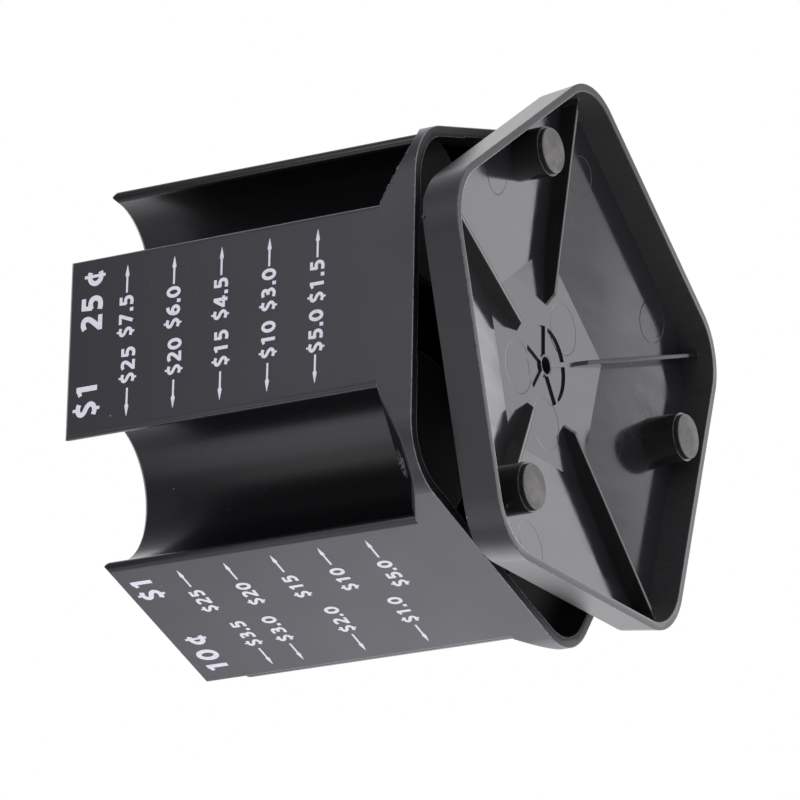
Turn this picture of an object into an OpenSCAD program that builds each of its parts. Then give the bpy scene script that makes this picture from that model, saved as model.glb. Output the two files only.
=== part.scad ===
// Five-column coin sorter on a swivel base
// A pentagonal moulded body holds five open coin channels, one at each corner.
// It turns on the spindle of a ribbed base that stands on three padded feet.

/* [Body] */
// Distance from the axis to a flat panel
body_apothem = 44.5; // [42:0.5:56]
// Height of the body from the skirt's rim to the top
body_h = 73.2; // [50:0.1:110]
// Height of the closed skirt under the coin channels
skirt_h = 7.2; // [5.5:0.1:12]
// Radius of the skirt's corners
skirt_corner_r = 12.5; // [6:0.5:14]
// Height that is left of the skirt at its corners, in front of the channels
nose_h = 1.8; // [1:0.1:4]
// Width of the level floor in front of a channel's mouth
nose_lip = 0.5; // [0.3:0.1:2]
// Thickness of the skirt
skirt_wall = 2; // [1.5:0.1:3]
// Thickness of the walls behind the panels, the channels and round the well
wall = 1.8; // [1.2:0.1:2.4]
// Thickness of the top
top_t = 2.2; // [1.4:0.1:4]
// Thickness of the floor that the coins stand on
coin_floor_t = 2; // [1.2:0.1:3]
// Radius of the edges between the panels and the channels
edge_r = 1.1; // [0.6:0.1:1.8]
// Width of the bevel round the top edges
top_bevel = 0.8; // [0.3:0.1:1.4]

/* [Coins] */
// Diameter of the one-dollar coin
dollar_d = 26.5; // [25.5:0.1:28]
// Diameter of the quarter
quarter_d = 24.26; // [23:0.02:25.4]
// Diameter of the nickel
nickel_d = 21.21; // [20:0.01:22.4]
// Diameter of the cent
cent_d = 19.05; // [18:0.05:20]
// Diameter of the dime
dime_d = 17.91; // [17:0.01:19]
// How much wider than its coin a channel is
coin_clear = 1; // [0.4:0.1:1.6]
// Width of the one-dollar channel's mouth
dollar_mouth = 24; // [20:0.1:25]
// Width of the quarter channel's mouth
quarter_mouth = 21; // [17:0.1:22.5]
// Width of the nickel channel's mouth
nickel_mouth = 18.2; // [14:0.1:19.5]
// Width of the cent channel's mouth
cent_mouth = 16; // [12:0.1:17.5]
// Width of the dime channel's mouth
dime_mouth = 14.7; // [11:0.1:16]

/* [Base] */
// Turn of the base against the body as it stands
base_turn = -19; // [-36:1:36]
// Distance from the axis to a side of the base, at its rim
base_apothem = 45.5; // [42:0.5:56]
// Distance from the axis to the centre line through two corner arcs
base_core = 32.5; // [26:0.5:38]
// How far the band leans in between its rim and its top edge
band_draft = 0.9; // [0:0.1:1.5]
// Height of the base's band
band_h = 7.4; // [6.8:0.1:12]
// Thickness of the band at its rim
band_wall = 1.5; // [1:0.1:2.2]
// Thickness of the base's plate
plate_t = 1.9; // [1.4:0.1:2.8]
// How far the plate rises from the band to its flat middle
plate_rise = 4.1; // [2:0.1:4.6]
// Distance from the axis to a side of the plate's flat middle
flat_apothem = 18.7; // [15:0.1:24]
// Clear height between the band and the skirt
skirt_gap = 5.2; // [4.7:0.1:9]
// Thickness of a corner rib
rib_t = 0.8; // [0.6:0.1:2]
// Distance from the axis to the start of a rib
rib_start = 11.8; // [10:0.1:14]
// Height of a rib at its inner end
rib_rise = 1.9; // [1:0.1:2.6]
// How far a rib's outer end stays inside the rim
rib_recess = 2.1; // [0.8:0.1:3]

/* [Feet] */
// How far a foot's axis lies inside the line of the base's sides
foot_inset = 6.9; // [6.5:0.1:15]
// Diameter of a foot's post
post_d = 9.3; // [8:0.1:11]
// Diameter of a pad
pad_d = 8.5; // [6:0.1:9.3]
// Thickness of a pad
pad_t = 1; // [0.8:0.1:2]
// Width of the bevel round a pad's face
pad_bevel = 0.2; // [0.1:0.1:0.6]
// How far the pads stand out past the base's rim
pad_proud = 0.4; // [0.2:0.1:0.8]

/* [Pivot] */
// Inside diameter of the well that the pivot is reached through
well_d = 22; // [19:0.5:24]
// Thickness of the well's floor
well_floor_t = 3; // [2:0.1:5]
// Height of the well's underside above the skirt's rim
well_lift = 4.2; // [2:0.1:6]
// Diameter of the boss under the body
boss_d = 18; // [14:0.5:22]
// Diameter of the neck that the body turns on
neck_d = 10; // [7:0.1:12]
// Radial clearance of the neck in the body
neck_clear = 0.05; // [0.02:0.01:0.1]
// Play of the body between the boss and the washer, above and below
seat_gap = 0.3; // [0.2:0.05:0.5]
// Outside diameter of the washer
washer_d = 17; // [14:0.5:18]
// Thickness of the washer
washer_t = 1.2; // [0.8:0.1:2]
// Diameter of the screw's shank
screw_d = 3.1; // [2.5:0.1:4]
// Length of the screw's shank
screw_len = 9; // [6:0.5:11]
// Diameter of the screw's head
head_d = 7.5; // [6:0.1:9]
// Height of the screw's head
head_h = 2.6; // [2:0.1:4]
// Width of a slot in the screw's head
slot_w = 1.1; // [0.6:0.1:1.4]
// Radial clearance round the screw's shank
screw_clear = 0.05; // [0.03:0.01:0.1]
// Outside diameter of the five pockets under the hub
pocket_d = 15; // [12:0.1:18]
// Depth of those pockets
pocket_depth = 0.4; // [0.3:0.1:1.4]
// Width of the spokes between those pockets
spoke_w = 0.9; // [0.6:0.1:2]
// Diameter of the ring round the screw hole
ring_d = 4.2; // [4:0.1:6.5]

/* [Hidden] */
$fn = 96;
eps = 0.01;
// How far a round corner stands past the faces that it joins, so that it cuts them cleanly
blend = 0.01;
sides = 5;
step = 360 / sides;
half = step / 2;
feet = 3;

// Corner angles of the body, from the one-dollar channel anticlockwise
first_corner = -126;
coins = [[dollar_d, dollar_mouth], [quarter_d, quarter_mouth], [nickel_d, nickel_mouth],
    [cent_d, cent_mouth], [dime_d, dime_mouth]];

// Heights above the surface that the feet stand on
rim_z = pad_proud;
band_z = rim_z + band_h;
plate_z = band_z + plate_rise;
floor_z = plate_z - plate_t;
skirt_z = band_z + skirt_gap;
coin_z = skirt_z + skirt_h;
top_z = skirt_z + body_h;
well_z = skirt_z + well_lift;
boss_z = well_z - seat_gap;
neck_z = well_z + well_floor_t + seat_gap;
washer_z = neck_z + washer_t;
post_z = pad_t;

// Distance from the axis to the skirt's corners
skirt_reach = (body_apothem - skirt_corner_r) / cos(half) + skirt_corner_r;

// Corner arcs, leaning sides and sloped plate of the base
base_r = base_apothem - base_core;
band_lean = atan2(band_draft, band_h);
plate_pitch = atan2(plate_rise, base_apothem - band_draft - flat_apothem);

// Distance from the axis to a foot
foot_rho = base_apothem - foot_inset;

black = [0.1, 0.1, 0.11];
steel = [0.72, 0.72, 0.74];
pad_grey = [0.5, 0.49, 0.48];

function polar(r, a) = [r * cos(a), r * sin(a)];
function corner_angle(k) = first_corner + k * step;

// A channel in its corner's own frame, where x runs outwards through the corner
function channel_r(k) = (coins[k][0] + coin_clear) / 2;
function edge_y(k) = coins[k][1] / 2 + edge_r;
function edge_x(k) = (body_apothem - edge_r + blend - edge_y(k) * sin(half)) / cos(half);
function channel_rho(k) = edge_x(k) - sqrt(pow(channel_r(k) + edge_r - blend, 2) - pow(edge_y(k), 2));
// Centre of the round edge on one side of the mouth, side being -1 or 1
function edge_at(k, side) = [edge_x(k), side * edge_y(k)];
// Where the floor starts to slope down to the skirt's corner, and how steeply
function nose_x(k) = edge_x(k) + edge_r + nose_lip;
function nose_slope(k) = atan2(skirt_h - nose_h, skirt_reach - nose_x(k));

// Pentagon with sharp corners
module sharp_pentagon(apothem) {
    rotate(first_corner) circle(apothem / cos(half), $fn = sides);
}

// Everything outside a corner, seen from the centre of its arc
module corner_wedge(reach) {
    polygon([[0, 0], polar(reach, -half), polar(reach, half)]);
}

// Pentagon with round corners
module rounded_pentagon(apothem, r) {
    difference() {
        sharp_pentagon(apothem);
        for (k = [0 : sides - 1]) rotate(corner_angle(k))
            translate([(apothem - r + blend) / cos(half), 0]) difference() {
                corner_wedge(apothem);
                circle(r);
            }
    }
}

// What lies outside a channel's mouth, between the two panels
module mouth_wedge(k) {
    polygon([[channel_rho(k), 0], edge_at(k, -1), edge_at(k, -1) + polar(body_apothem, -half),
        edge_at(k, 1) + polar(body_apothem, half), edge_at(k, 1)]);
}

// A channel with its mouth, less the round edges of the panels beside it
module channel_section(k) {
    difference() {
        union() {
            translate([channel_rho(k), 0]) circle(channel_r(k));
            mouth_wedge(k);
        }
        for (side = [-1, 1]) translate(edge_at(k, side)) circle(edge_r);
    }
}

// What slopes off a corner of the skirt in front of a channel, from the coin floor's height
module nose_cut(k) {
    translate([nose_x(k), 0, 0]) rotate([0, nose_slope(k), 0])
        translate([-nose_lip / 2, -body_apothem, 0]) cube(2 * body_apothem);
}

// Hollow inside the skirt, with its corners sloped off under the noses
module skirt_hollow(h) {
    difference() {
        linear_extrude(h) rounded_pentagon(body_apothem - skirt_wall, skirt_corner_r - skirt_wall);
        for (k = [0 : sides - 1]) rotate(corner_angle(k)) translate([0, 0, h]) nose_cut(k);
    }
}

// Section of the hollow behind the panels and channels
module hollow_section() {
    difference() {
        sharp_pentagon(body_apothem - wall);
        for (k = [0 : sides - 1]) rotate(corner_angle(k)) {
            translate([channel_rho(k), 0]) circle(channel_r(k) + wall);
            mouth_wedge(k);
        }
    }
}

// Opens the end of a round hole with a bevel
module end_bevel(r) {
    translate([0, 0, top_z - 2 * top_bevel])
        cylinder(h = 3 * top_bevel, r1 = r - top_bevel, r2 = r + 2 * top_bevel);
}

// Bevels along the panels' top edges and round the channels' open ends
module top_bevels() {
    bevel_side = top_bevel * sqrt(2);
    for (k = [0 : sides - 1]) rotate(corner_angle(k) + half)
        translate([body_apothem, 0, top_z]) rotate([0, 45, 0])
            cube([bevel_side, 2 * body_apothem, bevel_side], center = true);
    for (k = [0 : sides - 1]) rotate(corner_angle(k)) translate([channel_rho(k), 0])
        end_bevel(channel_r(k));
    end_bevel(well_d / 2);
}

// Space inside the body, open below, with the well standing in it
module body_hollow() {
    difference() {
        translate([0, 0, skirt_z - eps]) union() {
            linear_extrude(body_h - top_t + eps) hollow_section();
            skirt_hollow(skirt_h - coin_floor_t + eps);
        }
        translate([0, 0, well_z]) cylinder(h = body_h, d = well_d + 2 * wall);
    }
}

// One moulding, open below: panels, channels, skirt, top and the well round the pivot
module coin_body() {
    color(black) difference() {
        translate([0, 0, skirt_z]) linear_extrude(body_h) rounded_pentagon(body_apothem, skirt_corner_r);
        translate([0, 0, coin_z]) for (k = [0 : sides - 1]) rotate(corner_angle(k)) {
            linear_extrude(body_h) channel_section(k);
            nose_cut(k);
        }
        body_hollow();
        translate([0, 0, well_z + well_floor_t]) cylinder(h = body_h, d = well_d);
        translate([0, 0, well_z - eps]) cylinder(h = well_floor_t + 2 * eps, d = neck_d + 2 * neck_clear);
        top_bevels();
    }
}

// Block under a sloped plate, with leaning sides and round corners
module base_block(inset, drop) {
    h = plate_z - rim_z - drop;
    apothem = base_apothem - inset;
    r = base_r - inset;
    translate([0, 0, rim_z]) difference() {
        translate([0, 0, -eps * sign(inset)]) linear_extrude(h + eps * sign(inset))
            sharp_pentagon(base_apothem + band_h);
        for (k = [0 : sides - 1]) rotate(corner_angle(k) + half) {
            translate([apothem, 0, 0]) rotate([0, -band_lean, 0])
                translate([0, -apothem, -apothem]) cube(2 * apothem);
            translate([flat_apothem, 0, h]) rotate([0, plate_pitch, 0])
                translate([-flat_apothem / 2, -apothem, 0]) cube(2 * apothem);
        }
        for (k = [0 : sides - 1]) rotate(corner_angle(k))
            translate([(apothem - r + blend) / cos(half), 0, -h]) difference() {
                linear_extrude(2 * h) corner_wedge(apothem);
                cylinder(h = 2 * h, r1 = r + h * tan(band_lean), r2 = r - h * tan(band_lean));
            }
    }
}

// Gusset from the hub to each corner, highest at the hub and deepest at the rim
module corner_ribs() {
    for (k = [0 : sides - 1]) rotate(corner_angle(k)) rotate([90, 0, 0])
        linear_extrude(rib_t, center = true) polygon([
            [rib_start - plate_t, plate_z], [rib_start + rib_rise, floor_z - rib_rise],
            [base_apothem / cos(half), rim_z + rib_recess], [base_apothem / cos(half), plate_z]]);
}

// Places its children at the three feet, one of them on a corner rib
module at_foot(i) {
    rotate(first_corner + i * 360 / feet) translate([foot_rho, 0]) children();
}

module posts() {
    for (i = [0 : feet - 1]) at_foot(i) translate([0, 0, post_z]) cylinder(h = plate_z, d = post_d);
}

// Five shallow pockets with spokes between them, under the hub
module hub_pockets() {
    translate([0, 0, floor_z - eps]) difference() {
        cylinder(h = pocket_depth + eps, d = pocket_d);
        translate([0, 0, -eps]) cylinder(h = pocket_depth + 3 * eps, d = ring_d);
        for (k = [0 : sides - 1]) rotate(corner_angle(k)) translate([0, -spoke_w / 2, -eps])
            cube([pocket_d, spoke_w, pocket_depth + 3 * eps]);
    }
}

// One moulding: band, plate, ribs, posts and the spindle that carries the body
module swivel_base() {
    color(black) rotate(base_turn) difference() {
        union() {
            difference() {
                base_block(0, 0);
                difference() {
                    base_block(band_wall, plate_t);
                    corner_ribs();
                    posts();
                }
            }
            translate([0, 0, floor_z + pocket_depth]) cylinder(h = boss_z - floor_z - pocket_depth, d = boss_d);
            translate([0, 0, boss_z - eps]) cylinder(h = neck_z - boss_z + eps, d = neck_d);
        }
        hub_pockets();
        translate([0, 0, floor_z - eps])
            cylinder(h = neck_z - floor_z + 2 * eps, d = screw_d + 2 * screw_clear);
    }
}

// Pad stuck to the end of a post
module foot_pad(i) {
    color(pad_grey) rotate(base_turn) at_foot(i) {
        cylinder(h = pad_bevel, d1 = pad_d - 2 * pad_bevel, d2 = pad_d);
        translate([0, 0, pad_bevel]) cylinder(h = pad_t - pad_bevel, d = pad_d);
    }
}

module foot_pad_left() { foot_pad(0); }
module foot_pad_right() { foot_pad(1); }
module foot_pad_back() { foot_pad(2); }

// Washer on the neck that keeps the body on the spindle
module pivot_washer() {
    color(steel) translate([0, 0, neck_z]) difference() {
        cylinder(h = washer_t, d = washer_d);
        translate([0, 0, -eps]) cylinder(h = washer_t + 2 * eps, d = screw_d + 2 * screw_clear);
    }
}

// Pan-head screw down into the spindle
module pivot_screw() {
    round_r = head_h / 2;
    slot_h = head_h / 2;
    color(steel) translate([0, 0, washer_z]) difference() {
        union() {
            translate([0, 0, -screw_len]) cylinder(h = screw_len + eps, d = screw_d);
            rotate_extrude() {
                square([head_d / 2, head_h - round_r]);
                square([head_d / 2 - round_r, head_h]);
                translate([head_d / 2 - round_r, head_h - round_r]) intersection() {
                    circle(round_r);
                    square(round_r);
                }
            }
        }
        for (a = [0, 90]) rotate(a) translate([-head_d / 4, -slot_w / 2, head_h - slot_h])
            cube([head_d / 2, slot_w, slot_h + eps]);
    }
}

coin_body();
swivel_base();
foot_pad_left();
foot_pad_right();
foot_pad_back();
pivot_washer();
pivot_screw();
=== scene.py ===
import math
import random
import bmesh
import bpy
from mathutils import Matrix, Vector
from mathutils.geometry import delaunay_2d_cdt


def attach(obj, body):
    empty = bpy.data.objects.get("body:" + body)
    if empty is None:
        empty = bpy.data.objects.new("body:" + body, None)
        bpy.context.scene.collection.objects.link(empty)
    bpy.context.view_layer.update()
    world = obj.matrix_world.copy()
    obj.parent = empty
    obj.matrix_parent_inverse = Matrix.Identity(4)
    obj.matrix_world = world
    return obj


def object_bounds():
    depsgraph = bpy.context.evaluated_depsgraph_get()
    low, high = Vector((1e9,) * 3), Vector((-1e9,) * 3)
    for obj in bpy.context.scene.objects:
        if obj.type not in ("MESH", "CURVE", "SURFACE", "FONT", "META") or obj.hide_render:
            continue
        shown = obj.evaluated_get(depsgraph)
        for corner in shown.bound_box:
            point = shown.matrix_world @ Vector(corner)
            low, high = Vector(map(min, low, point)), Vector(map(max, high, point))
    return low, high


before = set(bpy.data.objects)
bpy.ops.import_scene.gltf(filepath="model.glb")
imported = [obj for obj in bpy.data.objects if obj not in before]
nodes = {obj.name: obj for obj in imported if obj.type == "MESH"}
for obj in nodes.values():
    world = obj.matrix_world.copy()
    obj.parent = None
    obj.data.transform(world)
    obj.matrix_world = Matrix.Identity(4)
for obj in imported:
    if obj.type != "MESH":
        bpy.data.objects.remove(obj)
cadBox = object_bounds()
scene = bpy.context.scene
mm = 0.001
print("frame loaded:", sorted(nodes))


class Wire:  # a socket of a finish; arithmetic on it adds Math nodes
    def __init__(self, finish, socket):
        self.finish, self.socket = finish, socket

    def math(self, operation, first, second):
        return self.finish.add("Math", {"operation": operation}, {0: first, 1: second})

    def __add__(self, other): return self.math("ADD", self, other)
    def __radd__(self, other): return self.math("ADD", other, self)
    def __sub__(self, other): return self.math("SUBTRACT", self, other)
    def __rsub__(self, other): return self.math("SUBTRACT", other, self)
    def __mul__(self, other): return self.math("MULTIPLY", self, other)
    def __rmul__(self, other): return self.math("MULTIPLY", other, self)
    def __gt__(self, other): return self.math("GREATER_THAN", self, other)
    def __lt__(self, other): return self.math("LESS_THAN", self, other)
    def __abs__(self): return self.math("ABSOLUTE", self, 0.0)
    def most(self, other): return self.math("MAXIMUM", self, other)
    def least(self, other): return self.math("MINIMUM", self, other)

    def ease(self, low, high):  # 0 below low, 1 above high, smooth between
        return self.finish.add("MapRange", {"interpolation_type": "SMOOTHSTEP"},
                               {"Value": self, "From Min": low, "From Max": high})


class Finish:  # one node tree: a material, or the world's
    def __init__(self, owner):
        owner.use_nodes = True
        self.owner, self.tree = owner, owner.node_tree
        self.tree.nodes.clear()

    def add(self, kind, settings=None, sockets=None, out=0):
        node = self.tree.nodes.new("ShaderNode" + kind)
        for key, value in (settings or {}).items():
            setattr(node, key, value)
        for key, value in (sockets or {}).items():
            if isinstance(value, Wire):
                self.tree.links.new(value.socket, node.inputs[key])
            else:
                node.inputs[key].default_value = value
        return Wire(self, node.outputs[out]) if len(node.outputs) else None

    def place(self):  # the piece's own coordinates in millimetres
        metres = self.add("TexCoord", out="Object")
        return self.add("VectorMath", {"operation": "SCALE"}, {0: metres, "Scale": 1000.0})

    def split(self, vector):
        node = self.add("SeparateXYZ", None, {0: vector}).socket.node
        return [Wire(self, socket) for socket in node.outputs]

    def along(self, vector, direction):
        return self.add("VectorMath", {"operation": "DOT_PRODUCT"},
                        {0: vector, 1: direction}, "Value")

    def apart(self, vector, point):
        return self.add("VectorMath", {"operation": "DISTANCE"}, {0: vector, 1: point}, "Value")

    def stretch(self, vector, by):
        return self.add("VectorMath", {"operation": "MULTIPLY"}, {0: vector, 1: by})

    def noise(self, vector, scale, detail=2.0, rough=0.5):
        return self.add("TexNoise", None, {"Vector": vector, "Scale": scale, "Detail": detail,
                                           "Roughness": rough})

    def tint(self, mask, low, high):  # 6 and 7 are the Mix node's colours
        return self.add("Mix", {"data_type": "RGBA"}, {0: mask, 6: low, 7: high}, 2)

    def rounded(self, radius):  # the normal, with sharp edges rounded off
        return self.add("Bevel", {"samples": 6}, {"Radius": radius})

    def edges(self, rounded):  # 1 along the edges that are rounded off
        plain = self.add("NewGeometry", out="Normal")
        return (1 - self.along(rounded, plain)).ease(0.03, 0.2)

    def bump(self, height, strength, distance, rounded=None):
        sockets = {"Strength": strength, "Distance": distance, "Height": height}
        if rounded:
            sockets["Normal"] = rounded
        return self.add("Bump", None, sockets)

    def upward(self):  # how far a face looks up, from -1 to 1
        return self.split(self.add("NewGeometry", out="Normal"))[2]

    def farthest(self, vector, angles):  # reach in the heading where it is largest
        reach = self.along(vector, heading(angles[0]))
        for angle in angles[1:]:
            reach = reach.most(self.along(vector, heading(angle)))
        return reach

    def plastic(self, **sockets):  # a socket's name has _ for each space
        named = {key.replace("_", " "): value for key, value in sockets.items()}
        shader = self.add("BsdfPrincipled", None, named)
        self.add("OutputMaterial", None, {"Surface": shader})
        return self.owner


def grey(level, warm=0.0):
    return (level * (1 + warm), level, level * (1 - warm), 1.0)


def newFinish(name):
    return Finish(bpy.data.materials.new(name))


def heading(degrees):
    return Vector((math.cos(math.radians(degrees)), math.sin(math.radians(degrees)), 0.0))


# camera: seen from below, the sorter lying on its side
viewpoint = {"place": (-0.3585, -0.8768, -0.4624), "right": (0.01808, 0.49217, -0.87031),
             "up": (0.94287, -0.29802, -0.14894), "lens": 258.8, "sensor": 36.0,
             "clip": (0.01, 20.0)}


def makeCamera():
    data = bpy.data.cameras.new("camera")
    data.lens, data.sensor_width = viewpoint["lens"], viewpoint["sensor"]
    data.sensor_fit = "HORIZONTAL"
    data.clip_start, data.clip_end = viewpoint["clip"]
    camera = bpy.data.objects.new("camera", data)
    scene.collection.objects.link(camera)
    right, up = Vector(viewpoint["right"]).normalized(), Vector(viewpoint["up"]).normalized()
    back = right.cross(up).normalized()
    up = back.cross(right)
    turn = Matrix((right, up, back)).transposed().to_4x4()
    camera.matrix_world = Matrix.Translation(viewpoint["place"]) @ turn
    scene.camera = camera
    return right, up, -back


viewRight, viewUp, viewAhead = makeCamera()
print("camera set")


# body: satin panels, smoother channels, scuffs on the rim and on one nose, painted highlights along
# the edges that are partly edge wear, painted shade in the hollow
bodyLook = {"apothem": 44.5, "panelAngles": (-90, -162, 126, 54, -18), "skirtTop": 20.15,
            "cornerAngles": (-126, -54, 18, 90, 162), "skirtMiddle": 43.15, "cornerMiddle": 50.6,
            "panelColor": (0.0165, 0.0159, 0.0208, 1.0), "panelRough": 0.44,
            "channelColor": (0.006, 0.0058, 0.0068, 1.0), "channelRough": 0.27,
            "hollowShadeColor": grey(0.006), "hollowRough": 0.6, "noseRough": 0.12, "noseUp": 0.2,
            "grain": 3.4, "grainDepth": 0.00003, "grainBump": 0.3, "ior": 1.52,
            "dust": (5.2, 0.18, 0.45), "dustColor": grey(0.42),
            "scratch": (28, 1.9), "scuffColor": grey(0.19),
            "edge": 0.0004, "edgeWearAndHighlight": grey(0.75), "rim": 13.0, "top": 85.4,
            "noseScuff": (-29.2, -37.6, 18.6), "flakeReach": (1.8, 3.0), "flakeColor": grey(0.24)}


def dustMask(finish, place, cell, size, share):  # a speck in a share of the cells
    cells = finish.add("TexVoronoi", {"feature": "F1"}, {"Vector": place, "Scale": 1 / cell})
    lot = finish.split(Wire(finish, cells.socket.node.outputs["Color"]))[0]
    reach = size / cell * (0.4 + lot)
    return (cells < reach) * (lot < share)


def scratchMask(finish, place, turn, fine):  # long thin streaks, turned about the axis
    turned = finish.add("VectorRotate", {"rotation_type": "Z_AXIS"},
                        {"Vector": place, "Angle": math.radians(turn)})
    drawn = finish.noise(finish.stretch(turned, (0.05, fine, fine)), 1.0, 1.0)
    return drawn.ease(0.71, 0.75)


def bodyPlastic():
    look = bodyLook
    finish = newFinish("bodyPlastic")
    place = finish.place()
    z = finish.split(place)[2]
    reach = finish.farthest(place, look["panelAngles"])
    corner = finish.farthest(place, look["cornerAngles"])
    skirt = z < look["skirtTop"]
    face = (reach - look["skirtMiddle"]).most(corner - look["cornerMiddle"]).ease(-0.25, 0.25)
    outside = (face * skirt).most(reach.ease(look["apothem"] - 0.45, look["apothem"] - 0.15))
    grain = finish.noise(place, look["grain"], 3.0, 0.6)
    cloud = finish.noise(place, 0.06, 3.0)
    streak = finish.noise(finish.stretch(place, (1.0, 1.0, 0.05)), 0.9, 3.0)
    dust = dustMask(finish, place, *look["dust"])
    wearAndHighlightNoise = finish.noise(place, 1.1, 4.0, 0.7)
    nearRim = 1 - z.ease(look["rim"] + 0.2, look["rim"] + 0.8)
    rim = wearAndHighlightNoise.ease(0.60, 0.72) * nearRim * outside
    rounded = finish.rounded(look["edge"])
    # painted highlight: a pale line along the rounded edges, in patches of the same noise as the rim
    # scuffs, so partly edge wear
    edges = finish.edges(rounded) * wearAndHighlightNoise.ease(0.28, 0.52)
    edges = edges * nearRim.most(outside * 0.4).most((z > look["top"]) * 0.3)
    flakes = finish.noise(place, 1.7, 4.0, 0.75).ease(0.50, 0.54)
    flakes = flakes * (1 - finish.apart(place, look["noseScuff"]).ease(*look["flakeReach"]))
    scratch = scratchMask(finish, place, *look["scratch"]) * cloud.ease(0.52, 0.62)
    wear = rim.most(scratch * 0.12)
    nose = (finish.upward() > look["noseUp"]) * skirt
    # painted shade: the skirt's hollow, away from the nose slopes, gets a near black colour darker
    # than the panels
    inside = finish.tint(skirt - nose, look["channelColor"], look["hollowShadeColor"])
    color = finish.tint(outside, inside, look["panelColor"])
    color = finish.tint(wear, color, look["scuffColor"])
    color = finish.tint(flakes, color, look["flakeColor"])
    color = finish.tint(edges, color, look["edgeWearAndHighlight"])
    color = finish.tint(dust * 0.7, color, look["dustColor"])
    panelRough = look["panelRough"] + (grain - 0.5) * 0.06 + (cloud - 0.5) * 0.12
    channelRough = look["channelRough"] + (streak - 0.5) * 0.05
    skirtRough = look["hollowRough"] + (look["noseRough"] - look["hollowRough"]) * nose
    innerRough = channelRough + (skirtRough - channelRough) * skirt
    rough = innerRough + (panelRough - innerRough) * outside + wear.most(flakes) * 0.2
    height = grain * (0.03 + outside * 0.47) + wear.most(flakes) * 0.8
    normal = finish.bump(height, look["grainBump"], look["grainDepth"], rounded)
    return finish.plastic(Base_Color=color, Roughness=rough, IOR=look["ior"], Normal=normal)


# base: satin band outside, glossy floor inside with the marks of the ejector pins, and painted
# highlights along the rim's edges, partly edge wear
baseLook = {"sideAngles": (-109, -37, 35, 107, 179), "cornerAngles": (-145, -73, -1, 71, 143),
            "sideMiddle": 44.75, "cornerMiddle": 52.42, "lean": 0.1216, "rim": 0.4,
            "floorColor": (0.021, 0.0205, 0.0235, 1.0), "hazeColor": (0.029, 0.0285, 0.032, 1.0),
            "floorRough": 0.12, "wallColor": grey(0.055), "wallRough": 0.42, "ribColor": grey(0.025),
            "bandColor": (0.0155, 0.015, 0.0175, 1.0), "bandRough": 0.36, "bandBlend": 0.0012,
            "grain": 3.0, "grainDepth": 0.00003, "grainBump": 0.35, "ior": 1.54,
            "dust": (4.6, 0.18, 0.42), "dustColor": grey(0.5),
            "scratches": ((64, 1.6), (-15, 2.3)), "scratchColor": grey(0.05),
            "edge": 0.0003, "edgeWearAndHighlight": grey(0.36),
            "ribFrom": 13.7, "ribTop": 8.1, "ribSlope": 0.1316, "ribRound": 0.0004,
            "pins": ((9.26, 6.48, 5.0), (-11.3, 0.2, 5.0), (-3.68, -10.68, 5.0),
                     (29.02, -25.16, 4.3), (39.42, 7.26, 3.9), (20.28, 36.67, 4.2),
                     (-38.0, -10.81, 4.3)),  # where each stands, and its radius
            "pinStep": 0.14, "pinDepth": 3.2, "ringColor": grey(0.003),
            "smear": (0.5, 32.0, 8.2), "smearReach": (4.0, 11.0), "smearTurn": 38,
            "smearColor": grey(0.032)}


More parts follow.
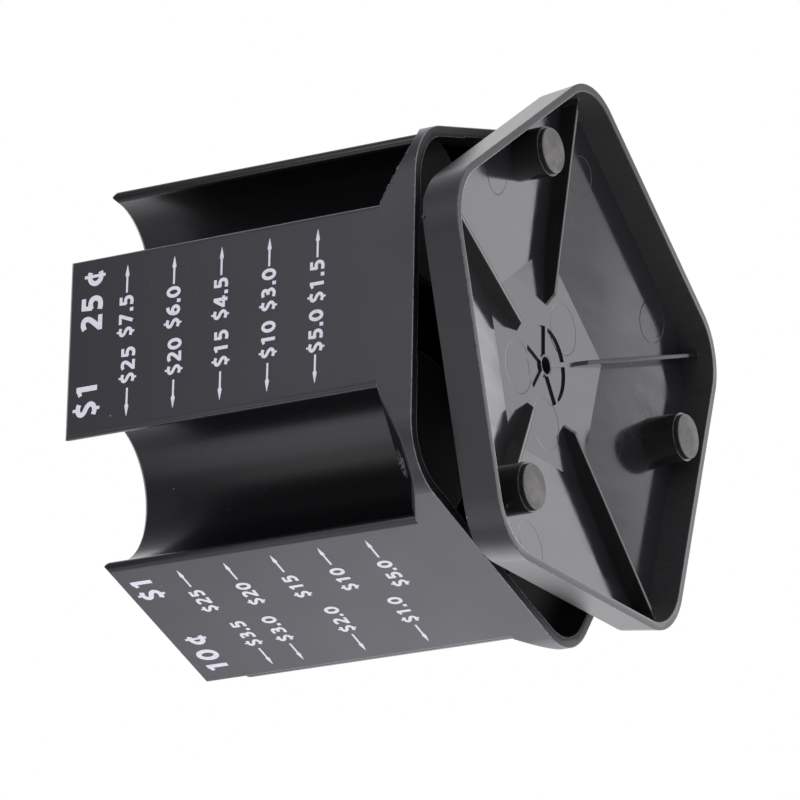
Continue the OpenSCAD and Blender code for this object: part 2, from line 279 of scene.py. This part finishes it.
def basePlastic():
    look = baseLook
    finish = newFinish("basePlastic")
    place = finish.place()
    x, y, z = finish.split(place)
    side = finish.farthest(place, look["sideAngles"]) - look["sideMiddle"]
    corner = finish.farthest(place, look["cornerAngles"]) - look["cornerMiddle"]
    beyond = side.most(corner) + (z - look["rim"]) * look["lean"]
    outside = beyond.ease(-0.55, -0.05)
    upright = 1 - abs(finish.upward()).ease(0.3, 0.6)
    wall = upright * beyond.ease(-1.9, -1.6) * (1 - outside)
    flat = finish.add("CombineXYZ", None, {0: x, 1: y, 2: 0.0})
    off = None
    for acrossX, acrossY, radius in look["pins"]:
        apart = finish.apart(flat, (acrossX, acrossY, 0.0)) - radius
        off = apart if off is None else off.least(apart)
    floor = (1 - outside) * (1 - upright)
    disc = (1 - off.ease(-look["pinStep"], look["pinStep"])) * floor
    ring = (1 - abs(off).ease(0.05, 0.2)) * floor
    grain = finish.noise(place, look["grain"], 3.0, 0.6)
    cloud = finish.noise(place, 0.07, 3.0)
    flow = finish.noise(finish.stretch(place, (0.5, 0.12, 0.5)), 0.5, 3.0)
    draw = finish.noise(finish.stretch(place, (1.0, 1.0, 0.06)), 0.8, 3.0)
    one, other = [scratchMask(finish, place, *streaks) for streaks in look["scratches"]]
    scratch = one.most(other) * cloud.ease(0.48, 0.6)
    wiped = finish.add("VectorRotate", {"rotation_type": "Z_AXIS"},
                       {"Vector": place, "Angle": math.radians(look["smearTurn"])})
    smear = finish.noise(finish.stretch(wiped, (0.14, 1.0, 1.0)), 0.7, 3.0, 0.6).ease(0.42, 0.62)
    smear = smear * (1 - finish.apart(place, look["smear"]).ease(*look["smearReach"])) * floor
    dust = dustMask(finish, place, *look["dust"])
    nearRim = 1 - z.ease(look["rim"] + 1.0, look["rim"] + 1.4)
    midBand = outside * (z.ease(1.2, 2.0) - z.ease(6.0, 6.8))
    ribEdge = look["ribTop"] - (corner + look["cornerMiddle"] - look["ribFrom"]) * look["ribSlope"]
    onRib = (1 - (z - ribEdge).ease(0.3, 0.45)) * (1 - nearRim) * (1 - outside)
    radius = nearRim * look["edge"] + midBand * look["bandBlend"] + onRib * look["ribRound"]
    rounded = finish.rounded(radius)
    # painted highlight: pale lines along the rounded edges near the rim and on the posts' ends, in
    # noisy patches, so partly edge wear
    edges = finish.edges(rounded) * finish.noise(place, 0.9, 4.0, 0.7).ease(0.36, 0.56) * nearRim
    color = finish.tint(flow.ease(0.5, 0.75) * 0.5, look["floorColor"], look["hazeColor"])
    color = finish.tint(smear, color, look["smearColor"])
    color = finish.tint(upright, color, look["ribColor"])
    color = finish.tint(wall * (0.7 + draw.ease(0.2, 0.8) * 0.3), color, look["wallColor"])
    color = finish.tint(outside, color, look["bandColor"])
    color = finish.tint(ring * 0.6, color, look["ringColor"])
    color = finish.tint(scratch * 0.5, color, look["scratchColor"])
    color = finish.tint(edges * 0.7, color, look["edgeWearAndHighlight"])
    color = finish.tint(dust * 0.8, color, look["dustColor"])
    floorRough = look["floorRough"] + (flow - 0.5) * 0.2 + (cloud - 0.5) * 0.08 + smear * 0.14
    innerRough = floorRough + (look["wallRough"] + (draw - 0.5) * 0.1 - floorRough) * wall
    bandRough = look["bandRough"] + (grain - 0.5) * 0.06
    rough = innerRough + (bandRough - innerRough) * outside + scratch * 0.1 + dust * 0.3
    height = grain * (0.03 + outside * 0.3) - disc * look["pinDepth"] + flow * 0.5
    normal = finish.bump(height, look["grainBump"], look["grainDepth"], rounded)
    return finish.plastic(Base_Color=color, Roughness=rough, IOR=look["ior"], Normal=normal)


# pads: grey felted rubber with a thin paler edge, and painted shade, near black, on their upright
# sides
padLook = {"color": grey(0.15, 0.03), "fleck": grey(0.26, 0.03), "edge": grey(0.24, 0.03),
           "worn": grey(0.10, 0.03), "bare": grey(0.27, 0.05), "side": grey(0.012), "rough": 0.74,
           "ior": 1.45, "faceShare": 0.476, "fleckBump": 0.5, "fleckDepth": 0.00008}


def padRubber():
    look = padLook
    finish = newFinish("padRubber")
    place = finish.place()
    u, v = finish.split(finish.add("TexCoord", out="Generated"))[:2]
    flat = finish.add("CombineXYZ", None, {0: u, 1: v, 2: 0.0})
    fromMiddle = finish.apart(flat, (0.5, 0.5, 0.0))
    edge = fromMiddle.ease(look["faceShare"] - 0.02, look["faceShare"])
    fleck = finish.noise(place, 2.6, 4.0, 0.7)
    cloud = finish.noise(place, 0.35, 2.0)
    bare = finish.noise(place, 0.16, 3.0, 0.6).ease(0.46, 0.64)
    color = finish.tint(fleck.ease(0.45, 0.8), look["color"], look["fleck"])
    color = finish.tint(bare * (0.35 + fleck * 0.5), color, look["bare"])
    color = finish.tint(cloud.ease(0.45, 0.75) * 0.5, color, look["worn"])
    color = finish.tint(edge * fleck.ease(0.35, 0.6), color, look["edge"])
    # painted shade: the pads' upright sides darkened to near black, as if in shadow
    side = 1 - abs(finish.upward()).ease(0.3, 0.6)
    color = finish.tint(side * (0.75 + fleck.ease(0.3, 0.6) * 0.25), color, look["side"])
    rough = look["rough"] + (fleck - 0.5) * 0.15 - edge * 0.2
    return finish.plastic(Base_Color=color, Roughness=rough, IOR=look["ior"],
                          Normal=finish.bump(fleck, look["fleckBump"], look["fleckDepth"]))


# pivot hardware down the well: turned steel
steelLook = {"color": grey(0.56, 0.01), "dark": grey(0.38, 0.01), "rough": 0.3,
             "lines": 9.0, "lineDepth": 0.00002}


def pivotSteel():
    look = steelLook
    finish = newFinish("pivotSteel")
    place = finish.place()
    x, y, z = finish.split(place)
    radius = finish.apart(finish.add("CombineXYZ", None, {0: x, 1: y, 2: 0.0}), (0.0, 0.0, 0.0))
    lines = {0: radius * look["lines"], 1: z * look["lines"], 2: 0.0}
    turning = finish.noise(finish.add("CombineXYZ", None, lines), 1.0)
    stain = finish.noise(place, 0.5, 3.0)
    color = finish.tint(stain.ease(0.45, 0.75), look["color"], look["dark"])
    rough = look["rough"] + (turning - 0.5) * 0.2 + (stain - 0.5) * 0.1
    return finish.plastic(Base_Color=color, Roughness=rough, Metallic=1.0,
                          Normal=finish.bump(turning, 0.3, look["lineDepth"]))


# printed figures: white pad-printed ink
inkLook = {"color": (0.80, 0.815, 0.87, 1.0), "thin": (0.62, 0.63, 0.68, 1.0), "rough": 0.5,
           "ior": 1.45, "grainDepth": 0.00001}


def printInk():
    look = inkLook
    finish = newFinish("printInk")
    place = finish.place()
    patchy = finish.noise(place, 1.3, 3.0)
    grain = finish.noise(place, 5.0, 2.0)
    color = finish.tint(patchy.ease(0.52, 0.8), look["color"], look["thin"])
    return finish.plastic(Base_Color=color, Roughness=look["rough"] + (grain - 0.5) * 0.2,
                          IOR=look["ior"], Normal=finish.bump(grain, 0.2, look["grainDepth"]))


# torn plastic along the mould's parting line
flashLook = {"color": grey(0.03), "torn": grey(0.22), "rough": 0.45, "ior": 1.52, "depth": 0.00004}


def paleFlash():
    look = flashLook
    finish = newFinish("paleFlash")
    place = finish.place()
    ragged = finish.noise(place, 2.4, 3.0, 0.7)
    color = finish.tint(ragged.ease(0.4, 0.65), look["color"], look["torn"])
    return finish.plastic(Base_Color=color, Roughness=look["rough"] + (ragged - 0.5) * 0.3,
                          IOR=look["ior"], Normal=finish.bump(ragged, 0.4, look["depth"]))


def addPiece(mesh, name, material, body):
    bmesh.ops.recalc_face_normals(mesh, faces=mesh.faces)
    data = bpy.data.meshes.new(name)
    mesh.to_mesh(data)
    mesh.free()
    data.materials.append(material)
    piece = bpy.data.objects.new(name, data)
    scene.collection.objects.link(piece)
    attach(piece, body)


def dress(names, material):
    for name in names:
        slots = nodes[name].data.materials
        slots.clear()
        slots.append(material)


dress(["coin_body"], bodyPlastic())
baseFinish = basePlastic()
dress(["swivel_base"], baseFinish)
dress(["foot_pad_left", "foot_pad_right", "foot_pad_back"], padRubber())
dress(["pivot_washer", "pivot_screw"], pivotSteel())
print("finishes made")


# figures drawn with strokes, in heights of a capital, about the middle of their cell
figureStyle = {"widen": 1.14, "bolder": 1.22, "steps": 6, "cell": 0.86, "dotCell": 0.38,
               "spaceCell": 0.26, "lift": 0.03, "sink": 0.03}
figures = {
    "0": [(0.19, "oval", (0.0, 0.5, 0.235, 0.405))],
    "1": [(0.19, "line", [(0.03, 0.0), (0.03, 1.0)]),
          (0.15, "line", [(0.06, 0.925), (-0.22, 0.80)])],
    "2": [(0.19, "curve", [(-0.23, 0.83), (-0.06, 0.908), (0.12, 0.865), (0.175, 0.70),
                           (0.08, 0.48), (-0.20, 0.12)]),
          (0.17, "line", [(-0.29, 0.085), (0.29, 0.085)])],
    "3": [(0.18, "curve", [(-0.22, 0.87), (-0.04, 0.912), (0.12, 0.865), (0.16, 0.72),
                           (0.08, 0.58), (-0.11, 0.535)]),
          (0.18, "curve", [(-0.11, 0.535), (0.10, 0.49), (0.195, 0.30), (0.08, 0.12),
                           (-0.09, 0.088), (-0.25, 0.13)])],
    "4": [(0.17, "line", [(0.10, 0.96), (-0.27, 0.28)]),
          (0.16, "line", [(-0.335, 0.275), (0.335, 0.275)]),
          (0.19, "line", [(0.13, 0.0), (0.13, 1.0)])],
    "5": [(0.17, "line", [(-0.22, 0.915), (0.23, 0.915)]),
          (0.16, "line", [(-0.15, 0.98), (-0.175, 0.50)]),
          (0.19, "curve", [(-0.21, 0.545), (-0.02, 0.58), (0.15, 0.51), (0.20, 0.33),
                           (0.12, 0.15), (-0.06, 0.09), (-0.25, 0.125)])],
    "6": [(0.19, "oval", (0.02, 0.315, 0.21, 0.222)),
          (0.19, "curve", [(0.21, 0.893), (0.03, 0.855), (-0.13, 0.69), (-0.19, 0.46),
                           (-0.19, 0.30)])],
    "7": [(0.17, "line", [(-0.29, 0.915), (0.29, 0.915)]),
          (0.19, "line", [(0.215, 0.95), (-0.12, 0.0)])],
    ".": [(0.21, "line", [(-0.105, 0.105), (0.105, 0.105)])],
    "$": [(0.18, "curve", [(0.21, 0.845), (0.06, 0.90), (-0.12, 0.865), (-0.19, 0.73),
                           (-0.11, 0.59), (0.09, 0.46), (0.185, 0.30), (0.11, 0.14),
                           (-0.06, 0.09), (-0.23, 0.145)]),
          (0.11, "line", [(0.0, 0.88), (0.0, 1.15)]), (0.11, "line", [(0.0, 0.12), (0.0, -0.15)])],
    "¢": [(0.18, "curve", [(0.23, 0.625), (0.06, 0.665), (-0.13, 0.585), (-0.215, 0.385),
                           (-0.13, 0.185), (0.06, 0.105), (0.23, 0.145)]),
          (0.11, "line", [(0.075, -0.10), (0.075, 0.91)])],
    " ": []}
arrow = {"outline": ((0.0, 0.04), (0.9, 0.22), (1.9, 0.42), (2.05, 0.40), (2.35, 0.21), (5.4, 0.2))}


def curvePoints(points, steps):
    ends = [points[0]] + list(points) + [points[-1]]
    path = []
    for a, b, c, d in zip(ends, ends[1:], ends[2:], ends[3:]):
        for step in range(steps):
            t = step / steps
            path.append(tuple(0.5 * (2 * q + (r - p) * t + (2 * p - 5 * q + 4 * r - s) * t * t
                                     + (3 * q - p - 3 * r + s) * t ** 3)
                              for p, q, r, s in zip(a, b, c, d)))
    return path + [tuple(points[-1])]


def ovalPoints(midX, midY, reachX, reachY, count=28):
    turns = [2 * math.pi * k / count for k in range(count + 1)]
    return [(midX + reachX * math.cos(t), midY + reachY * math.sin(t)) for t in turns]


def ribbon(path, halfWidths):  # quads along a path, as lists of flat points
    sides = []
    for k, (px, py) in enumerate(path):
        ahead, behind = path[min(k + 1, len(path) - 1)], path[max(k - 1, 0)]
        run = Vector((ahead[0] - behind[0], ahead[1] - behind[1])).normalized()
        wide = Vector((-run.y, run.x)) * halfWidths[k]
        sides.append(((px + wide.x, py + wide.y), (px - wide.x, py - wide.y)))
    return [[a[0], a[1], b[1], b[0]] for a, b in zip(sides, sides[1:])]


def joinQuads(quads):  # the flat points and triangles of overlapping quads
    points = [Vector(p) for quad in quads for p in quad]
    faces = [list(range(4 * k, 4 * k + 4)) for k in range(len(quads))]
    joined = delaunay_2d_cdt(points, [], faces, 1, 1e-5)
    flat, triangles, sources = joined[0], joined[2], joined[5]
    return flat, [triangle for triangle, source in zip(triangles, sources) if source]


def drawFigure(sign):
    quads = []
    for width, kind, shape in figures[sign]:
        if kind == "oval":
            path = ovalPoints(*shape)
        else:
            path = curvePoints(shape, figureStyle["steps"]) if kind == "curve" else shape
        path = [(u * figureStyle["widen"], v) for u, v in path]
        quads += ribbon(path, [width * figureStyle["bolder"] / 2] * len(path))
    return joinQuads(quads)


def cellOf(sign):
    narrow = {".": figureStyle["dotCell"], " ": figureStyle["spaceCell"]}
    return narrow.get(sign, figureStyle["cell"])


def setWord(word, height, anchor, align):  # align -1 starts at the anchor, 0 centres, 1 ends
    start = anchor[0] - sum(cellOf(sign) for sign in word) * height * (align + 1) / 2
    shapes = []
    for sign in word:
        middle = start + cellOf(sign) * height / 2
        start += cellOf(sign) * height
        if sign != " ":
            flat, triangles = drawFigure(sign)
            points = [(middle + p.x * height, anchor[1] + (p.y - 0.5) * height) for p in flat]
            shapes.append((points, triangles))
    return shapes


def setArrow(tip, height, way):  # way 1 points right, -1 left
    path = [(tip - way * along, height) for along, half in arrow["outline"]]
    flat, triangles = joinQuads(ribbon(path, [half for along, half in arrow["outline"]]))
    return [([(p.x, p.y) for p in flat], triangles)]


def printMesh(name, shapes, outward, apothem, material):
    rightward = Vector((-outward.y, outward.x, 0.0))
    mesh = bmesh.new()
    inked = []
    for flat, triangles in shapes:
        verts = [mesh.verts.new((outward * (apothem + figureStyle["lift"]) + rightward * u
                                 + Vector((0, 0, v))) * mm) for u, v in flat]
        inked += [mesh.faces.new([verts[i] for i in triangle]) for triangle in triangles]
    bmesh.ops.delete(mesh, geom=[v for v in mesh.verts if not v.link_faces], context="VERTS")
    depth = outward * (figureStyle["lift"] + figureStyle["sink"]) * mm
    grown = bmesh.ops.extrude_face_region(mesh, geom=inked, use_keep_orig=True)
    for part in grown["geom"]:
        if isinstance(part, bmesh.types.BMVert):
            part.co -= depth
    addPiece(mesh, name, material, "body")


# each panel's two scales: the way they point, the head and where it stands, where the labels
# stand and how they align, the arrow's tip, and each row's label and height
dollarRows = ["$5.0", "$10", "$15", "$20", "$25"]
quarterRows = ["$1.5", "$3.0", "$4.5", "$6.0", "$7.5"]
nickelRows = ["$.25", "$.50", "$.75", "$1.0", "$1.25"]
dimeRows = [(word, 22.9 + 13.35 * full) for word, full in
            (("$1.0", 1), ("$2.0", 2), ("$3.0", 3), ("$3.5", 3.5))]
centRows = [("$.10", 38.1), ("$.20", 53.3), ("$.30", 68.5)]


def spread(words, first, apart):
    return [(word, first + apart * k) for k, word in enumerate(words)]


panelScales = [
    {"name": "scaleFront", "angle": -90, "sides": [
        {"way": -1, "head": "$1", "headAt": (-9.45, 81.45), "label": (-4.1, 0), "tip": -13.95,
         "rows": spread(dollarRows, 33.0, 9.93)},
        {"way": 1, "head": "25 ¢", "headAt": (9.75, 80.95), "label": (5.5, 0), "tip": 15.5,
         "rows": spread(quarterRows, 33.0, 10.12)}]},
    {"name": "scaleLeft", "angle": -162, "sides": [
        {"way": -1, "head": "10 ¢", "headAt": (-12.7, 80.6), "label": (-12.9, -1), "tip": -19.0,
         "rows": dimeRows},
        {"way": 1, "head": "$1", "headAt": (9.05, 81.1), "label": (6.7, 1), "tip": 13.1,
         "rows": spread(dollarRows, 32.5, 9.94)}]},
    {"name": "scaleRight", "angle": -18, "sides": [
        {"way": -1, "head": "25 ¢", "headAt": (-9.4, 81.0), "label": (-9.6, -1), "tip": -15.4,
         "rows": spread(quarterRows, 33.0, 10.12)},
        {"way": 1, "head": "5 ¢", "headAt": (12.0, 81.0), "label": (11.3, 1), "tip": 17.1,
         "rows": spread(nickelRows, 32.7, 9.75)}]},
    {"name": "scaleBackRight", "angle": 54, "sides": [
        {"way": -1, "head": "5 ¢", "headAt": (-12.0, 81.0), "label": (-11.3, -1), "tip": -17.1,
         "rows": spread(nickelRows, 32.7, 9.75)},
        {"way": 1, "head": "1 ¢", "headAt": (13.0, 81.0), "label": (12.5, 1), "tip": 18.3,
         "rows": centRows}]},
    {"name": "scaleBackLeft", "angle": 126, "sides": [
        {"way": -1, "head": "1 ¢", "headAt": (-13.0, 81.0), "label": (-12.5, -1), "tip": -18.3,
         "rows": centRows},
        {"way": 1, "head": "10 ¢", "headAt": (12.7, 80.6), "label": (13.0, 1), "tip": 19.0,
         "rows": dimeRows}]}]
printSize = {"head": 4.45, "row": 2.9}


def printScales():
    ink = printInk()
    for panel in panelScales:
        shapes = []
        for side in panel["sides"]:
            shapes += setWord(side["head"], printSize["head"], side["headAt"], 0)
            labelAt, align = side["label"]
            for word, height in side["rows"]:
                shapes += setWord(word, printSize["row"], (labelAt, height), align)
                shapes += setArrow(side["tip"], height, side["way"])
        printMesh(panel["name"], shapes, heading(panel["angle"]), bodyLook["apothem"], ink)


printScales()
print("scales printed")


# flash that the mould left along one nose's edge, and the stub of the base's gate
flash = {"seed": 5, "from": 18.4, "flatTo": 23.25, "apothem": 44.5, "cornerRadius": 12.5,
         "bend": 26, "steps": 16, "nose": -54, "noseFrom": 46.83, "noseTop": 20.2,
         "noseSlope": 1.0345, "low": 0.05, "high": 0.42, "thick": 0.1, "sunk": 0.2, "tilt": 0.8}
gateStub = {"at": (11.3, -50.55, 7.75), "radius": 0.42, "shape": (1.0, 0.8, 0.9)}


def flashPath():  # points along the edge, each with its outward heading
    arcAt = Vector((flash["flatTo"], flash["cornerRadius"] - flash["apothem"], 0.0))
    path = []
    for step in range(flash["steps"] + 1):
        share = step / flash["steps"]
        x = flash["from"] + (flash["flatTo"] - flash["from"]) * share
        path.append((Vector((x, -flash["apothem"], 0.0)), heading(-90)))
    for step in range(1, flash["steps"] + 1):
        out = heading(-90 + flash["bend"] * step / flash["steps"])
        path.append((arcAt + out * flash["cornerRadius"], out))
    for point, _ in path:
        beyond = point.dot(heading(flash["nose"])) - flash["noseFrom"]
        point.z = flash["noseTop"] - beyond * flash["noseSlope"]
    return path


def mouldMarks():
    luck = random.Random(flash["seed"])
    path = flashPath()
    mesh = bmesh.new()
    rings = []
    for k, (point, out) in enumerate(path):
        lean = (out + Vector((0, 0, flash["tilt"]))).normalized()
        run = (path[min(k + 1, len(path) - 1)][0] - path[max(k - 1, 0)][0]).normalized()
        wide = run.cross(lean) * flash["thick"]
        swell = math.sin(math.pi * k / len(path))
        tall = flash["low"] + (flash["high"] - flash["low"]) * luck.random() * swell
        foot = point - lean * flash["sunk"]
        corners = (foot + wide, foot - wide, point + lean * tall)
        rings.append([mesh.verts.new(corner * mm) for corner in corners])
    for a, b in zip(rings, rings[1:]):
        for i in range(3):
            mesh.faces.new((a[i], a[(i + 1) % 3], b[(i + 1) % 3], b[i]))
    mesh.faces.new(rings[0])
    mesh.faces.new(rings[-1])
    addPiece(mesh, "noseFlash", paleFlash(), "body")
    mesh = bmesh.new()
    bmesh.ops.create_icosphere(mesh, subdivisions=3, radius=gateStub["radius"] * mm)
    bmesh.ops.scale(mesh, vec=Vector(gateStub["shape"]), verts=mesh.verts)
    bmesh.ops.translate(mesh, vec=Vector(gateStub["at"]) * mm, verts=mesh.verts)
    addPiece(mesh, "gateStub", baseFinish, "base")


mouldMarks()
print("mould marks added")


# floor: pale, fades out into the backdrop, and is seen only from above
floorLook = {"radius": 0.5, "drop": 0.0004, "color": grey(0.86), "glow": 0.2,
             "fadeFrom": 0.20, "fadeTo": 0.46}


def makeFloor():
    mesh = bmesh.new()
    bmesh.ops.create_circle(mesh, cap_ends=True, segments=96, radius=floorLook["radius"])
    data = bpy.data.meshes.new("floor")
    mesh.to_mesh(data)
    mesh.free()
    floor = bpy.data.objects.new("floor", data)
    floor.location.z = cadBox[0][2] - floorLook["drop"]
    scene.collection.objects.link(floor)
    finish = newFinish("floorPaper")
    place = finish.add("TexCoord", out="Object")
    fade = finish.apart(place, (0.0, 0.0, 0.0)).ease(floorLook["fadeFrom"], floorLook["fadeTo"])
    under = finish.add("NewGeometry", out="Backfacing")
    paper = finish.add("BsdfDiffuse", None, {"Color": floorLook["color"]})
    glow = finish.add("Emission", None, {"Color": floorLook["color"],
                                         "Strength": floorLook["glow"]})
    paper = finish.add("AddShader", None, {0: paper, 1: glow})
    clear = finish.add("BsdfTransparent")
    mixed = finish.add("MixShader", None, {0: fade.most(under), 1: paper, 2: clear})
    finish.add("OutputMaterial", None, {"Surface": mixed})
    data.materials.append(finish.owner)
    for ray in ("diffuse", "glossy", "transmission", "shadow"):
        setattr(floor, "visible_" + ray, False)
    return floor


# light: a pale room, brighter behind the sorter, and soft boxes round it, in view millimetres
roomLook = {"low": 0.22, "high": 1.0, "brightSide": (0.6, -0.3, 0.7), "near": 0.5,
            "spread": (-1.0, 0.8), "mirrored": (0.6, 0.9),
            "cool": (1.0, 0.97, 1.08, 1.0), "warm": (1.0, 0.995, 1.02, 1.0)}
softBoxes = {
    "rightBox": {"at": (225, -40, 165), "size": 0.2, "level": 0.95, "color": (1.0, 0.99, 1.03)},
    "lowBox": {"at": (30, -310, 110), "size": 0.24, "level": 1.9, "color": (1.0, 0.98, 1.05)},
    "backBox": {"at": (60, 330, 1040), "size": 1.1, "level": 0.74, "color": (1.03, 1.0, 0.99)},
    "backLowBox": {"at": (0, -300, 600), "size": 0.5, "level": 0.45, "color": (1.01, 1.0, 1.0)},
    "topBox": {"at": (-180, 190, -200), "size": 0.22, "level": 2.2, "color": (1.0, 0.985, 1.04)},
    "cornerBox": {"at": (-140, -125, -150), "size": 0.15, "level": 1.2, "color": (1.0, 0.98, 1.05)},
    "leftBox": {"at": (-130, -10, -115), "size": 0.07, "level": 0.8, "color": (1.0, 1.0, 1.0)}}


def fromView(direction):  # right, up, ahead in the photograph's view
    return viewRight * direction[0] + viewUp * direction[1] + viewAhead * direction[2]


def makeLight(floor):
    unlit = bpy.data.collections.new("unlit")  # the near boxes would light the floor in patches
    unlit.objects.link(floor)
    unlit.collection_objects[0].light_linking.link_state = "EXCLUDE"
    world = bpy.data.worlds.new("room")
    scene.world = world
    finish = Finish(world)
    ray = finish.add("TexCoord", out="Generated")
    bright = fromView(roomLook["brightSide"]).normalized()
    lean = finish.along(ray, bright).ease(*roomLook["spread"])
    level = roomLook["low"] + (roomLook["high"] - roomLook["low"]) * lean
    seen = finish.add("LightPath", out="Is Camera Ray")
    glossy = finish.add("LightPath", out="Is Glossy Ray")
    through = finish.add("LightPath", out="Is Transmission Ray")
    backdrop = seen.most(glossy.most(through) * lean.ease(*roomLook["mirrored"]))
    strength = level + (1.0 - level) * backdrop
    color = finish.tint(lean, roomLook["cool"], roomLook["warm"])
    color = finish.tint(seen, color, grey(1.0))
    shade = finish.add("Background", None, {"Color": color, "Strength": strength})
    finish.add("OutputWorld", None, {"Surface": shade})
    middle = (Vector(cadBox[0]) + Vector(cadBox[1])) / 2
    for name, box in softBoxes.items():
        data = bpy.data.lights.new(name, "AREA")
        data.size, data.color = box["size"], box["color"]
        data.energy = box["level"] * math.pi * box["size"] ** 2
        lamp = bpy.data.objects.new(name, data)
        lamp.visible_camera = False
        scene.collection.objects.link(lamp)
        offset = fromView(box["at"]) * mm
        if offset.length < roomLook["near"]:
            lamp.light_linking.receiver_collection = unlit
        lamp.location = middle + offset
        lamp.rotation_euler = offset.to_track_quat("Z", "Y").to_euler()


makeLight(makeFloor())
scene.view_settings.view_transform = "Standard"
print("floor and light set")
